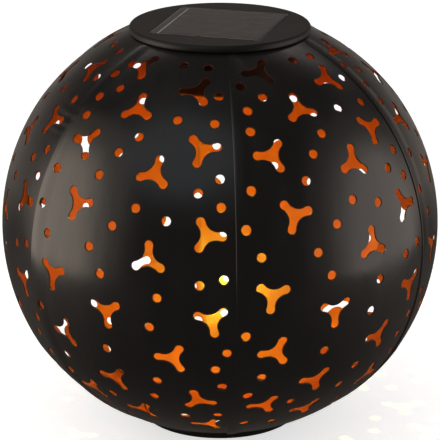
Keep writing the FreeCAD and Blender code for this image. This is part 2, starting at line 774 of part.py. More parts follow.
export("head_cover", head_cover())
export("cell_backing", panel_layer(pocket_bottom, pocket_bottom + backing_thickness))
export("solar_cell", cell_blanks())
export("cell_resin", cell_resin())
export("gasket", gasket())
export("head_housing", head_housing())
export("housing_screws", housing_screws())

export("battery", battery())
export("contact_plus", contact_plus())
export("contact_spring", contact_spring())
export("battery_door", battery_door())
export("door_screws", small_screws(door_lugs, door_screw_seat(), True))

export("circuit_board", circuit_board())
export("board_screws", small_screws(board_posts, board_top, False))
export("board_parts", board_parts())
export("led", led())
export("switch_body", switch_body())
export("switch_knob", switch_knob())
export("cell_leads", cell_leads())
export("battery_leads", battery_leads())
print("globe centre %.2f, cover top %.2f, housing underside %.2f" % (globe_centre, cover_top, housing_bottom))
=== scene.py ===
from math import acos, asin, atan2, copysign, cos, degrees, inf, pi, radians, sin, sqrt, tau

import bmesh
import bpy
import numpy as np
from mathutils import Matrix, Vector


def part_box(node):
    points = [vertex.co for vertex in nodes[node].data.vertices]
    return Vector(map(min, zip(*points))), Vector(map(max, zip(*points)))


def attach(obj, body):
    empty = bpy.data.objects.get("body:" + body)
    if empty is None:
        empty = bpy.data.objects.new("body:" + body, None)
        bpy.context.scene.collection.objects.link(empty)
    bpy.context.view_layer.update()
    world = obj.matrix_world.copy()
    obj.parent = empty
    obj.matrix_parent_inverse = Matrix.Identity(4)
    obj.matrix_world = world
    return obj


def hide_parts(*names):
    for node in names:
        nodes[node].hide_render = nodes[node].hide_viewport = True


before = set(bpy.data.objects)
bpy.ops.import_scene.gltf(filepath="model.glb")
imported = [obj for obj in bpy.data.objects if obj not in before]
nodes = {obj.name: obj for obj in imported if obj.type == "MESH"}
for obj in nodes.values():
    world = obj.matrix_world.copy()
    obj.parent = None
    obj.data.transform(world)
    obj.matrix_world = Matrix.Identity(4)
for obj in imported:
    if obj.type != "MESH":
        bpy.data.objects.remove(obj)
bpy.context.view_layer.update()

# Looks of the garden globe light. Metres and degrees; +Z is up and -Y is the front. A "turn" is an angle
# about +Z, anticlockwise from above, counted from the front. The sizes repeat the solids' own.
MM = 0.001
HAIR = 0.1 * MM               # places nearer than this count as one

# ---- globe: six pressed gores, each lapped over its neighbour
GLOBE_RADIUS = 100 * MM
SHEET = 0.5 * MM
GORES = 6
FIRST_SEAM = 4.0
CROWN_RADIUS = 102 * MM
CROWN_BLEND = 35.0
FOOT_CURVE_RADIUS = 103.3 * MM
FOOT_BLEND = -30.0
FOOT_RADIUS = 36 * MM
LAP_TURN = 2.0
LAP_GAP = 0.05 * MM
LAP_END_CLEAR = 1.5 * MM
LAP_FADE = 1.2                # latitude in which the lap's step dies out past its ends
JOGGLE_WIDTH = 6.5 * MM
GORE_FLATNESS = 0.88          # a pressed gore turns this much as far across as the globe does
SEAM_GAP = 0.03               # between a gore's right edge and the step in its neighbour
WELD_GAP = 0.05 * MM
BASE_RING_HEIGHT = 2.6 * MM
PUCKER_CENTRE = (-70 * MM, -38.3 * MM, 157 * MM)
PUCKER_REACH = 12 * MM
PUCKER_PITCH = 3.8 * MM
SEAM_LINE = (0.15, 0.6)       # from a gore's edge inside: the line is full up to here, and ends here
PAINTED_BEAM_ANGLES = (66, 30)        # off straight down: the lacquer's painted light of the lamp's beam starts here, and is full from here
LACQUER_SLANT = (0.15, 0.65)  # slant of the view: the lacquer looks glossier from here, up to here
LACQUER_GLOSSIER = 0.5        # share of its roughness that is left there
# rows of the sheet: where the lap fades out at the top, in each zone, where it does at the foot
FADE_ROWS, CROWN_ROWS, BELLY_ROWS, FOOT_ROWS, END_ROWS = 4, 14, 30, 18, 3
JOGGLE_COLUMNS = 8
PANEL_COLUMNS = 30

# ---- cut-outs of one gore
DOT_RADIUS = 2.0 * MM
DOT_SIDES = 18
STAR_ARM = 6.4 * MM
STAR_END_RADIUS = 1.95 * MM
STAR_WAIST = 2.75 * MM
STAR_END_STEPS = 10
STAR_HOLLOW_STEPS = 6
CUT_LEAN = 0.28 * MM          # a cut-out is this much wider all round at the outer face
PUNCH_REACH = 5 * MM
# height from the sheet's outer face, and how much wider a punch is there
PUNCH_LEVELS = ((-PUNCH_REACH, 0), (-SHEET, 0), (0, CUT_LEAN), (PUNCH_REACH, CUT_LEAN))
INNER_FACE = -0.6             # a face that looks outwards less than this gets the lacquer
SHEET_FACE = 0.5              # one that looks along the sheet's direction more than this is smooth
LAP_COLUMNS = (0.0, 0.03, 0.07, 0.12, 0.4, 0.7, 1.0)
ROLLED_WIDTH = 0.42 * MM      # the lap's free edge is rolled down over this width
ROLLED_DEPTH = 0.28 * MM
DOT_OVER_SEAM = 3.55          # a dot nearer to the seam than this is punched in both gores
ZONE_BLEND = 8.0              # latitude either side of a zone's end
# stars: turn from the gore's left seam, latitude, direction of one arm anticlockwise from the right
STARS = [
    (15.2, 58.5, 62), (46.7, 52.4, 62), (25.6, 45.6, 95), (11.5, 34.0, 56), (37.3, 29.2, 78),
    (50.7, 36.0, 12), (15.7, 18.8, 12), (38.0, 8.0, 90), (52.8, 14.8, -3), (9.0, -0.8, 23),
    (26.2, -7.2, 34), (54.0, -6.9, 40), (10.6, -16.8, 66), (43.5, -18.5, 58), (24.4, -28.6, 52),
    (49.4, -34.0, 105), (10.4, -37.2, 59), (27.6, -43.0, 57), (51.6, -49.0, 60),
]
# dots: turn from the gore's left seam, latitude
DOTS = [
    (4.6, 53.8), (6.0, 46.4), (5.9, 40.6), (12.8, 50.2), (41.4, 43.6), (54.2, 43.0), (55.6, 51.0),
    (50.0, 60.4), (37.0, 60.8), (29.8, 38.0), (24.6, 33.2), (20.4, 26.8), (4.5, 25.5), (33.5, 20.2),
    (42.1, 17.8), (27.4, 15.1), (2.6, 16.0), (6.3, 9.1), (21.2, 8.9), (24.8, 2.6), (40.3, -1.6),
    (38.0, -9.7), (51.0, 2.3), (57.0, 3.8), (50.1, 25.0), (56.0, 28.6), (56.3, 21.6), (2.4, -11.3),
    (24.6, -18.4), (57.8, -16.4), (54.8, -21.7), (56.6, -27.8), (7.5, -24.9), (38.1, -26.7),
    (4.2, -31.6), (35.6, -33.6), (19.2, -36.8), (43.7, -43.0), (55.2, -41.8), (5.4, -47.8),
    (17.0, -49.0),
]

# ---- base and head
PLATE_TOP = 1.8 * MM
LAMP_HEIGHT = 153.5 * MM      # of the light, just under the lamp's tip
PANEL_TURN = -16.0
POCKET_SIDE = 51.64 * MM
POCKET_CORNER = 0.78 * MM
CORNER_STEPS = 6
RESIN_PROUD = 0.25 * MM       # the resin's top stands above the cover
RESIN_EDGE = 1.5 * MM         # and rounds down over this width to the pocket's wall
RESIN_EDGE_STEPS = 6
RESIN_DROP = 0.40 * MM
RESIN_BITE = 0.02 * MM        # into the pocket's wall, so that no air shows between them
CELLS_SIDE = 46.7 * MM
FINGER_COUNT = 29
FINGER_WIDTH = 0.12 * MM
BUSBAR_WIDTH = 0.45 * MM
BUSBAR_INSET = 1.5 * MM       # from the left cell's left side
RIBBON_THICKNESS = 0.03 * MM

SCREW_TIP = 0.6               # of the thread's radius
SCREW_HEAD = ((1, 0), (1, 0.35), (0.93, 0.72), (0.74, 1), (0, 1))  # of the head's radius and height
# screws: thread radius, length, head radius, head height
POST_SCREW = (1.2 * MM, 9.0 * MM, 2.3 * MM, 1.6 * MM)
SMALL_SCREW = (0.75 * MM, 5.0 * MM, 1.7 * MM, 0.9 * MM)
CROSS_WIDTH = 0.5 * MM
CROSS_SHARE = 0.62            # of the head's width
POST_CIRCLE = 27.61 * MM
POST_TURNS = (180, 300, 60)
POST_SEAT = 173.75 * MM
LID_PLACES = [(-15 * MM, 22.2 * MM), (15 * MM, 1.8 * MM)]
LID_SEAT = 162.25 * MM
CIRCUIT_PLACES = [(-10.5 * MM, -19 * MM), (10.5 * MM, -5 * MM)]
CIRCUIT_SEAT = 171.9 * MM
TURNED_EDGE = 35              # an edge of a turned piece sharper than this stays crisp
SOFT_EDGE = 25                # an edge of a solid sharper than this is rounded
ROUNDING_STEPS = 3
FLAT_EDGE = 0.5               # an edge flatter than this is no edge
TINY = 1e-6
BATTERY_RADIUS = 5.25 * MM
BATTERY_LENGTH = 44.5 * MM
NUB_RADIUS = 1.9 * MM
NUB_LENGTH = 0.8 * MM

# ---- camera and studio
CAMERA_ELEVATION = 18.3
CAMERA_DISTANCE = 1.2
CAMERA_LENS = 213.1
CAMERA_AIM_RISE = 0.57 * MM   # the lens points this far above the globe's centre
SENSOR_WIDTH = 36.0
FLOOR_SIDE = 8.0
ROOM_LIGHT = 0.45
REFLECTED_ROOM = 0.08
REFLECTED_HORIZON = 0.26      # behind the globe, over the floor
REFLECTED_FLOOR = (0.08, 0.34)  # the floor in reflections: away from the softboxes, and in the painted pool of their light under them
HORIZON_FLOOR = (0.1, 0.6)    # behind the globe the floor's painted lighter stretch in reflections grows from here to here
HORIZON_HEIGHT = 0.32         # upward part of the direction at which the room's lighter part ends
HORIZON_SIDES = (-0.3, 0.5)   # backward part at which it begins and is full
ROOM_TINT = (1.0, 0.87, 0.77)
WHITE = (1.0, 1.0, 1.0)
FLOOR_GLOW = 0.64
PAINTED_POOL_MIDDLE = (0.36, -0.08)  # middle of the painted pool of the right softbox's light on the floor, seen in reflections; the left one mirrors it
# how far the painted pool of a softbox's light reaches
PAINTED_POOL_REACH = 0.28
# share of a softbox's light, size
SOFTBOX_LAYERS = ((0.35, 0.8), (0.30, 1.0), (0.22, 1.2), (0.13, 1.7))
# softboxes: name, turn, elevation, distance, width, height, radiance, colour
SOFTBOXES = [
    ("left_softbox", -80, 2, 0.36, 0.30, 0.44, 2.0, (1.0, 0.86, 0.72)),
    ("right_softbox", 82, 1, 0.38, 0.36, 0.46, 1.10, (1.0, 0.88, 0.80)),
    ("back_softbox", 180, 48, 1.2, 1.3, 0.25, 1.0, (1.0, 0.92, 0.86)),
    ("front_softbox", -32, 50, 1.4, 1.5, 1.2, 0.36, (0.85, 0.93, 1.0)),
]
LAMP_POWER = 0.88
LAMP_COLOUR = (1.0, 0.92, 0.05)
LAMP_RADIUS = 2.4 * MM
BEAM_ANGLE = 180
BEAM_SOFTNESS = 0.47

PITCH = 360.0 / GORES
collection = bpy.context.scene.collection


def zone_centre(radius, latitude):
    """Height of a zone's centre on the axis, from the globe's, if it meets the globe at a latitude."""
    reach = GLOBE_RADIUS * cos(radians(latitude))
    rise = sqrt(radius ** 2 - reach ** 2)
    return GLOBE_RADIUS * sin(radians(latitude)) - copysign(rise, latitude)


CROWN = (zone_centre(CROWN_RADIUS, CROWN_BLEND), CROWN_RADIUS)
BELLY = (0.0, GLOBE_RADIUS)
FOOT = (zone_centre(FOOT_CURVE_RADIUS, FOOT_BLEND), FOOT_CURVE_RADIUS)
GLOBE_CENTRE = (BASE_RING_HEIGHT + WELD_GAP - FOOT[0]
                + sqrt(FOOT_CURVE_RADIUS ** 2 - FOOT_RADIUS ** 2))
MIDDLE = Vector((0, 0, GLOBE_CENTRE))

COLLAR_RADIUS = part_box("collar_ring")[1].x
COVER_RADIUS, _, COVER_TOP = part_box("head_cover")[1]
NECK_ANGLE = degrees(acos((COLLAR_RADIUS + WELD_GAP) / (CROWN_RADIUS - SHEET)))
FOOT_ANGLE = -degrees(acos(FOOT_RADIUS / FOOT_CURVE_RADIUS))


# ---- helpers for meshes, objects and node trees
def new_object(name, mesh):
    made = bpy.data.objects.new(name, mesh)
    collection.objects.link(made)
    return made


def direction(turn, rise):
    """Unit vector at a turn and this far up from level."""
    turn, rise = radians(turn), radians(rise)
    return Vector((cos(rise) * sin(turn), -cos(rise) * cos(turn), sin(rise)))


def new_mesh(name, points, faces, smooth=True):
    mesh = bpy.data.meshes.new(name)
    mesh.from_pydata([tuple(p) for p in points], [], faces)
    mesh.validate()
    mesh.polygons.foreach_set("use_smooth", [smooth] * len(mesh.polygons))
    return mesh


def lathed(name, profile, sides=32):
    """A closed turned shape about Z. The profile lists radius, height and the finish up to there."""
    rings, points = [], []
    for radius, height, _ in profile:
        count = sides if radius else 1
        rings.append(range(len(points), len(points) + count))
        points += [(radius * cos(turn), radius * sin(turn), height)
                   for turn in (tau * i / sides for i in range(count))]
    faces, kinds, materials = [], [], []
    for low, high, (_, _, material) in zip(rings, rings[1:], profile[1:]):
        if material not in materials:
            materials.append(material)
        for i in range(sides):
            j = (i + 1) % sides
            corners = [low[i % len(low)], low[j % len(low)], high[j % len(high)], high[i % len(high)]]
            faces.append(tuple(dict.fromkeys(corners)))
            kinds.append(materials.index(material))
    mesh = new_mesh(name, points, faces)
    for material in materials:
        mesh.materials.append(material)
    mesh.polygons.foreach_set("material_index", kinds)
    mesh.set_sharp_from_angle(angle=radians(TURNED_EDGE))
    return mesh


def stacked(name, rings):
    """A closed shape through rings of points, all of one count, from the bottom up."""
    count = len(rings[0])
    top = count * (len(rings) - 1)
    faces = [tuple(reversed(range(count))), tuple(range(top, top + count))]
    faces += [(a + i, a + (i + 1) % count, a + count + (i + 1) % count, a + count + i)
              for a in range(0, top, count) for i in range(count)]
    return new_mesh(name, sum(rings, []), faces, False)


def add(tree, kind, inputs=(), **settings):
    """Adds a node to a tree. An input's value is a constant or another node's output."""
    node = tree.nodes.new(kind)
    for name, value in settings.items():
        setattr(node, name, value)
    for socket, value in dict(inputs).items():
        if isinstance(value, bpy.types.NodeSocket):
            value = [value]
        if isinstance(value, list):
            for output in value:
                tree.links.new(output, node.inputs[socket])
        else:
            node.inputs[socket].default_value = value
    return node


def maths(tree, operation, *values):
    """What one Math node gives."""
    return add(tree, "ShaderNodeMath", dict(enumerate(values)), operation=operation).outputs[0]


def vectors(tree, operation, *values):
    """What one Vector Math node gives: a number or a vector."""
    node = add(tree, "ShaderNodeVectorMath", dict(enumerate(values)), operation=operation)
    return node.outputs["Value" if operation in ("DISTANCE", "LENGTH", "DOT_PRODUCT") else "Vector"]


def split(tree, vector):
    """The X, Y and Z of a vector."""
    return add(tree, "ShaderNodeSeparateXYZ", {"Vector": vector}).outputs


def joined(tree, **parts):
    return add(tree, "ShaderNodeCombineXYZ", parts).outputs[0]


def object_shape(tree, thing):
    """The mesh of another object."""
    return add(tree, "GeometryNodeObjectInfo", {"Object": thing}).outputs["Geometry"]


def placed(tree, points, piece, **turned):
    """A copy of the piece on each point."""
    return add(tree, "GeometryNodeInstanceOnPoints",
               {"Points": points, "Instance": piece, **turned}).outputs["Instances"]


def realized(tree, copies):
    return add(tree, "GeometryNodeRealizeInstances", {"Geometry": copies}).outputs[0]


def coated(tree, piece, material, **chosen):
    """A piece with a material on all its faces, or on the chosen ones."""
    return add(tree, "GeometryNodeSetMaterial",
               {"Geometry": piece, "Material": material, **chosen}).outputs[0]


def cut_from(tree, whole, cuts):
    return add(tree, "GeometryNodeMeshBoolean", {"Mesh 1": whole, "Mesh 2": cuts},
               operation="DIFFERENCE", solver="MANIFOLD").outputs["Mesh"]


def shape_tree(name, sockets):
    """An empty geometry tree with named inputs. Returns the tree and its inputs' node."""
    tree = bpy.data.node_groups.new(name, "GeometryNodeTree")
    tree.interface.new_socket("Geometry", in_out="OUTPUT", socket_type="NodeSocketGeometry")
    tree.interface.new_socket("Geometry", in_out="INPUT", socket_type="NodeSocketGeometry")
    for label, kind in sockets:
        tree.interface.new_socket(label, in_out="INPUT", socket_type="NodeSocket" + kind)
    return tree, tree.nodes.new("NodeGroupInput").outputs


def made_by(tree, start, values):
    """The plain mesh that a geometry tree makes from a starting mesh."""
    maker = new_object("maker", start)
    modifier = maker.modifiers.new("make", "NODES")
    modifier.node_group = tree
    for item in tree.interface.items_tree:
        if item.in_out == "INPUT" and item.name in values:
            modifier[item.identifier] = values[item.name]
    graph = bpy.context.evaluated_depsgraph_get()
    made = bpy.data.meshes.new_from_object(maker.evaluated_get(graph), depsgraph=graph)
    bpy.data.objects.remove(maker)
    return made


# ---- helpers for finishes
def finish(name, **values):
    """A material with one Principled shader. Its constants are set on the shader's own sockets."""
    material = bpy.data.materials.new(name)
    material.use_nodes = True
    shader = material.node_tree.nodes["Principled BSDF"]
    for socket, value in values.items():
        shader.inputs[socket.replace("_", " ")].default_value = value
    return material, material.node_tree, shader


def place(tree, stretch=(1, 1, 1)):
    """The piece's own coordinates, stretched."""
    here = add(tree, "ShaderNodeTexCoord").outputs["Object"]
    return add(tree, "ShaderNodeMapping", {"Vector": here, "Scale": stretch}).outputs["Vector"]


def noise(tree, size, detail=2.0, stretch=(1, 1, 1), rough=0.5):
    """Random pattern of a feature size in metres, from 0 to 1."""
    inputs = {"Vector": place(tree, stretch), "Scale": 1 / size, "Detail": detail, "Roughness": rough}
    return add(tree, "ShaderNodeTexNoise", inputs).outputs["Fac"]


def spread(tree, factor, low, high, start=0.0, end=1.0):
    """A number that goes from low to high as the factor goes from start to end."""
    inputs = {"Value": factor, "From Min": start, "From Max": end, "To Min": low, "To Max": high}
    return add(tree, "ShaderNodeMapRange", inputs).outputs["Result"]


def tint(tree, factor, low, high):
    """A colour between two, each a constant or another node's output."""
    node = add(tree, "ShaderNodeMix", {"Factor": factor}, data_type="RGBA")
    colours = [s for s in node.inputs if s.type == "RGBA"]
    for colour, value in zip(colours, (low, high)):
        if isinstance(value, bpy.types.NodeSocket):
            tree.links.new(value, colour)
        else:
            colour.default_value = (*value, 1)
    return next(s for s in node.outputs if s.type == "RGBA")


def relief(tree, height, depth, under=None):
    """A bump of a depth in metres, over another bump."""
    inputs = {"Height": height, "Distance": depth, "Strength": 1.0}
    if under:
        inputs["Normal"] = under
    return add(tree, "ShaderNodeBump", inputs).outputs["Normal"]


def wear(tree, shader, **links):
    for socket, output in links.items():
        tree.links.new(output, shader.inputs[socket.replace("_", " ")])


# ---- finishes
def puckers(tree):
    """Small puckers of the sheet beside the left seam, high up: a short wave that dies out around."""
    here = place(tree)
    near = spread(tree, vectors(tree, "DISTANCE", here, PUCKER_CENTRE), 1, 0, 0.0, PUCKER_REACH)
    phase = maths(tree, "MULTIPLY", split(tree, here)["Z"], tau / PUCKER_PITCH)
    return maths(tree, "MULTIPLY", maths(tree, "SINE", phase), near)


def black_paint():
    """Satin black paint on pressed sheet: upright streaks of the pressing under a fine orange peel."""
    material, tree, shader = finish("satin_black_paint", Specular_IOR_Level=0.72)
    haze = noise(tree, 0.016, 3, (1, 1, 0.3))
    streaks = relief(tree, noise(tree, 0.011, 2, (1, 1, 0.22)), 0.00012,
                     relief(tree, puckers(tree), 0.00020))
    peel = relief(tree, noise(tree, 0.0016, 2), 0.000008, streaks)
    wear(tree, shader, Base_Color=tint(tree, haze, (0.0040, 0.0038, 0.0040), (0.0085, 0.0074, 0.0070)),
         Roughness=spread(tree, haze, 0.17, 0.30, 0.3, 0.7), Normal=peel)
    return material


def painted_beam_share(tree):
    """A point's share of the lamp's beam, by its angle off straight down. It sets the lacquer's painted
    light.
    """
    way = vectors(tree, "NORMALIZE", vectors(tree, "SUBTRACT", place(tree), (0, 0, LAMP_HEIGHT)))
    down = vectors(tree, "DOT_PRODUCT", way, (0, 0, -1))
    return spread(tree, down, 0, 1, *(cos(radians(angle)) for angle in PAINTED_BEAM_ANGLES))


def at_seam(tree):
    """1 on a narrow line where one gore's edge ends on the next, inside the globe."""
    here = split(tree, place(tree))
    turn = maths(tree, "ARCTAN2", here["X"], maths(tree, "MULTIPLY", here["Y"], -1.0))
    turn = maths(tree, "SUBTRACT", turn, radians(FIRST_SEAM + LAP_TURN))
    near = maths(tree, "PINGPONG", turn, radians(PITCH / 2))
    return spread(tree, near, 1, 0, *map(radians, SEAM_LINE))


def orange_lacquer():
    """Orange lacquer inside, a little uneven. Painted light: it glows faintly where the lamp's beam
    falls.
    """
    material, tree, shader = finish("metallic_orange_lacquer", Metallic=0.90, Coat_Weight=1.0,
                                    Coat_Roughness=0.31, Coat_IOR=2.0, Emission_Strength=0.04)
    cloud = noise(tree, 0.012, 3)
    slanted = add(tree, "ShaderNodeLayerWeight", {"Blend": 0.5}).outputs["Facing"]
    glossier = spread(tree, slanted, 1, LACQUER_GLOSSIER, *LACQUER_SLANT)
    grain = relief(tree, noise(tree, 0.0030, 3), 0.00016, relief(tree, noise(tree, 0.02, 1), 0.0004))
    plain = tint(tree, cloud, (0.38, 0.067, 0.0030), (0.45, 0.086, 0.0045))
    wear(tree, shader, Base_Color=tint(tree, at_seam(tree), plain, (0.30, 0.060, 0.003)),
         Roughness=maths(tree, "MULTIPLY", spread(tree, cloud, 0.62, 0.74), glossier),
         # painted light: an emission that stands in for the lamp's beam falling on the lacquer
         Emission_Color=tint(tree, painted_beam_share(tree), (0.03, 0.001, 0.0), (1.0, 0.150, 0.006)),
         Normal=grain, Coat_Normal=grain)
    return material


def base_finish():
    """Satin black paint below and orange lacquer on what faces the inside of the globe."""
    material, tree, shader = finish("base_paint_and_lacquer", Specular_IOR_Level=0.5)
    here = split(tree, place(tree))
    reach = vectors(tree, "LENGTH", joined(tree, X=here["X"], Y=here["Y"]))
    above = maths(tree, "GREATER_THAN", here["Z"], PLATE_TOP - HAIR)
    within = maths(tree, "LESS_THAN", reach, FOOT_RADIUS - 2 * SHEET)
    inside = maths(tree, "MULTIPLY", above, within)
    haze = noise(tree, 0.01, 3)
    wear(tree, shader, Base_Color=tint(tree, inside, (0.006, 0.0055, 0.0055), (0.36, 0.066, 0.004)),
         Roughness=spread(tree, haze, 0.28, 0.40), Normal=relief(tree, noise(tree, 0.002, 2), 0.00002))
    return material


def black_plastic():
    """Fine-grained moulded black plastic."""
    material, tree, shader = finish("moulded_black_plastic", Specular_IOR_Level=0.50)
    patch = noise(tree, 0.015, 3)
    grain = relief(tree, noise(tree, 0.0005, 3), 0.00001)
    wear(tree, shader, Base_Color=tint(tree, patch, (0.0048, 0.0034, 0.0028), (0.0080, 0.0060, 0.0050)),
         Roughness=spread(tree, patch, 0.40, 0.50), Normal=grain)
    return material


def silicon():
    """Dark brown cell with fine streaks along the strips."""
    material, tree, shader = finish("brown_silicon", Specular_IOR_Level=0.5)
    streak = noise(tree, 0.0012, 2, (0.08, 1, 1))
    wear(tree, shader, Base_Color=tint(tree, streak, (0.017, 0.009, 0.007), (0.036, 0.021, 0.017)),
         Roughness=spread(tree, streak, 0.22, 0.34))
    return material


def resin():
    material, tree, shader = finish("clear_resin", Transmission_Weight=1.0, IOR=1.5)
    smear = noise(tree, 0.01, 3)
    wear(tree, shader, Roughness=spread(tree, smear, 0.03, 0.09),
         Base_Color=tint(tree, smear, (0.93, 0.91, 0.89), (0.98, 0.97, 0.96)))
    return material


def painted(name, low, high, rough, size=0.006, depth=0.00001, **values):
    """A finish that varies a little between two colours, with a fine grain."""
    material, tree, shader = finish(name, **values)
    patch = noise(tree, size, 3)
    wear(tree, shader, Base_Color=tint(tree, patch, low, high),
         Roughness=spread(tree, patch, rough * 0.85, rough * 1.15),
         Normal=relief(tree, noise(tree, size / 8, 2), depth))
    return material


PAINT = black_paint()
BASE = base_finish()
LACQUER = orange_lacquer()
PLASTIC = black_plastic()
STEEL = painted("zinc_plated_steel", (0.42, 0.42, 0.43), (0.55, 0.55, 0.55), 0.34, Metallic=1.0)
NICKEL = painted("nickel_plate", (0.58, 0.57, 0.54), (0.68, 0.67, 0.64), 0.28, Metallic=1.0)
TINNED = painted("tinned_ribbon", (0.62, 0.60, 0.56), (0.74, 0.72, 0.68), 0.42, Metallic=0.6)
PRINTED_SILVER = painted("printed_silver", (0.12, 0.10, 0.09), (0.17, 0.145, 0.13), 0.45)
# cut edges: black paint and lacquer overspray, darkened with painted shade and tinted with a painted
# orange reflection
SHADED_CUT_EDGE = painted("cut_edge_lacquer_and_painted_shade", (0.050, 0.007, 0.002), (0.080, 0.011, 0.002), 0.55)
BOARD = painted("black_board", (0.012, 0.012, 0.014), (0.020, 0.020, 0.023), 0.30)
CELL = silicon()
RESIN = resin()
RUBBER = painted("black_rubber", (0.020, 0.020, 0.020), (0.034, 0.033, 0.032), 0.75)
SLEEVE = painted("green_sleeve", (0.03, 0.20, 0.09), (0.045, 0.25, 0.12), 0.35)
MASK = painted("green_solder_mask", (0.02, 0.13, 0.05), (0.035, 0.18, 0.075), 0.32)
EPOXY = painted("black_epoxy", (0.014, 0.014, 0.014), (0.024, 0.024, 0.024), 0.48)
LEAD = painted("red_lead_cover", (0.28, 0.012, 0.012), (0.38, 0.020, 0.018), 0.42)
LENS = painted("warm_lens", (0.95, 0.86, 0.66), (1.0, 0.93, 0.75), 0.16, Emission_Strength=3.0,
               Emission_Color=(1.0, 0.78, 0.42, 1))


# ---- globe panels
def zone_meet(upper, lower, offset):
    """Height where the curves of two zones meet, at an offset outwards from the outer face."""
    radii_apart = (lower[1] + offset) ** 2 - (upper[1] + offset) ** 2
    return (radii_apart + upper[0] ** 2 - lower[0] ** 2) / (2 * (upper[0] - lower[0]))


def zone_angle(zone, offset, height):
    return degrees(asin((height - zone[0]) / (zone[1] + offset)))


def zone_limits(zone, offset):
    """The angles about a zone's centre between which its curve is used."""
    high, low = zone_meet(CROWN, BELLY, offset), zone_meet(BELLY, FOOT, offset)
    top = NECK_ANGLE if zone is CROWN else zone_angle(zone, offset, high if zone is BELLY else low)
    bottom = FOOT_ANGLE if zone is FOOT else zone_angle(zone, offset, high if zone is CROWN else low)
    return top, bottom


LAP_TOP = degrees(acos((COVER_RADIUS + LAP_END_CLEAR) / CROWN_RADIUS))
LAP_BOTTOM = FOOT_ANGLE + degrees(LAP_END_CLEAR / FOOT_CURVE_RADIUS)
RAISED = LAP_GAP + SHEET


def steps(start, end, count):
    """Evenly spaced values after the first."""
    return [start + (end - start) * (i + 1) / count for i in range(count)]


def sheet_rows():
    """Rows of the sheet from neck to foot: zone, share of the way down it, lap's height, lap or none."""
    crown_top, crown_bottom = zone_limits(CROWN, 0)
    foot_top, foot_bottom = zone_limits(FOOT, 0)
    crown = [crown_top, LAP_TOP + LAP_FADE] + steps(LAP_TOP + LAP_FADE, LAP_TOP, FADE_ROWS)
    crown += steps(LAP_TOP, crown_bottom, CROWN_ROWS)
    belly = steps(*zone_limits(BELLY, 0), BELLY_ROWS)
    foot = steps(foot_top, LAP_BOTTOM, FOOT_ROWS) + steps(LAP_BOTTOM, foot_bottom, END_ROWS)
    rows = []
    for zone, angles in ((CROWN, crown), (BELLY, belly), (FOOT, foot)):
        top, bottom = zone_limits(zone, 0)
        for angle in angles:
            lapped = not ((zone is CROWN and angle > LAP_TOP + TINY)
                          or (zone is FOOT and angle < LAP_BOTTOM - TINY))
            rows.append((zone, (angle - top) / (bottom - top), lap_share(zone, angle), lapped))
    return rows


def ease(share):
    return share * share * (3 - 2 * share)


def lap_share(zone, angle):
    """How much of the lap's height is there at a latitude: all of it, dying out past the ends."""
    past = 0.0
    if zone is CROWN:
        past = (angle - LAP_TOP) / LAP_FADE
    if zone is FOOT:
        past = (LAP_BOTTOM - angle) / LAP_FADE
    return 1 - ease(min(max(past, 0.0), 1.0))


def sheet_columns():
    """Columns of the sheet from its left edge: kind, share of the way across."""
    lap = [("lap", share) for share in LAP_COLUMNS]
    joggle = [("joggle", share) for share in steps(0, 1, JOGGLE_COLUMNS)]
    panel = [("panel", share) for share in steps(0, 1, PANEL_COLUMNS)]
    return lap + joggle + panel


def sheet_point(row, column, side):
    """Point of the sheet's outer face, or of its inner one."""
    zone, share, lap, _ = row
    kind, across = column
    offset = {"lap": 1.0, "joggle": 1 - ease(across), "panel": 0.0}[kind] * RAISED * lap + side
    top, bottom = zone_limits(zone, offset)
    angle = radians(top + (bottom - top) * share)
    if kind == "lap" and side == 0:
        from_edge = radians(LAP_TURN * across) * zone[1] * cos(angle)
        offset -= ROLLED_DEPTH * max(1 - from_edge / ROLLED_WIDTH, 0) ** 2
    reach = (zone[1] + offset) * cos(angle)
    joggle_turn = degrees(JOGGLE_WIDTH / reach)
    span = PITCH - SEAM_GAP
    turn = {"lap": LAP_TURN * across, "joggle": LAP_TURN + joggle_turn * across,
            "panel": LAP_TURN + joggle_turn + (span - joggle_turn) * across}[kind]
    turn = radians(FIRST_SEAM + turn)
    height = GLOBE_CENTRE + zone[0] + (zone[1] + offset) * sin(angle)
    return reach * sin(turn), -reach * cos(turn), height


def plain_panel():
    """One gore before it is punched: a closed sheet whose left edge is stepped up as a lap."""
    rows, columns = sheet_rows(), sheet_columns()
    wide, lap_columns = len(columns), len(LAP_COLUMNS) - 1
    points = [sheet_point(r, c, side) for side in (0.0, -SHEET) for r in rows for c in columns]
    inner = len(rows) * wide
    outside = []
    for i in range(len(rows) - 1):
        for j in range(wide - 1):
            if j < lap_columns and not (rows[i][3] and rows[i + 1][3]):
                continue
            a = i * wide + j
            outside.append((a, a + wide, a + wide + 1, a + 1))
    edges = {(f[k], f[(k + 1) % 4]) for f in outside for k in range(4)}
    inside = [tuple(inner + p for p in reversed(f)) for f in outside]
    walls = [(b, a, inner + a, inner + b) for a, b in edges if (b, a) not in edges]
    used = sorted({p for f in outside + inside for p in f})
    place_of = {p: i for i, p in enumerate(used)}
    faces = [tuple(place_of[p] for p in f) for f in outside + inside + sorted(walls)]
    return new_mesh("plain_panel", [points[p] for p in used], faces)


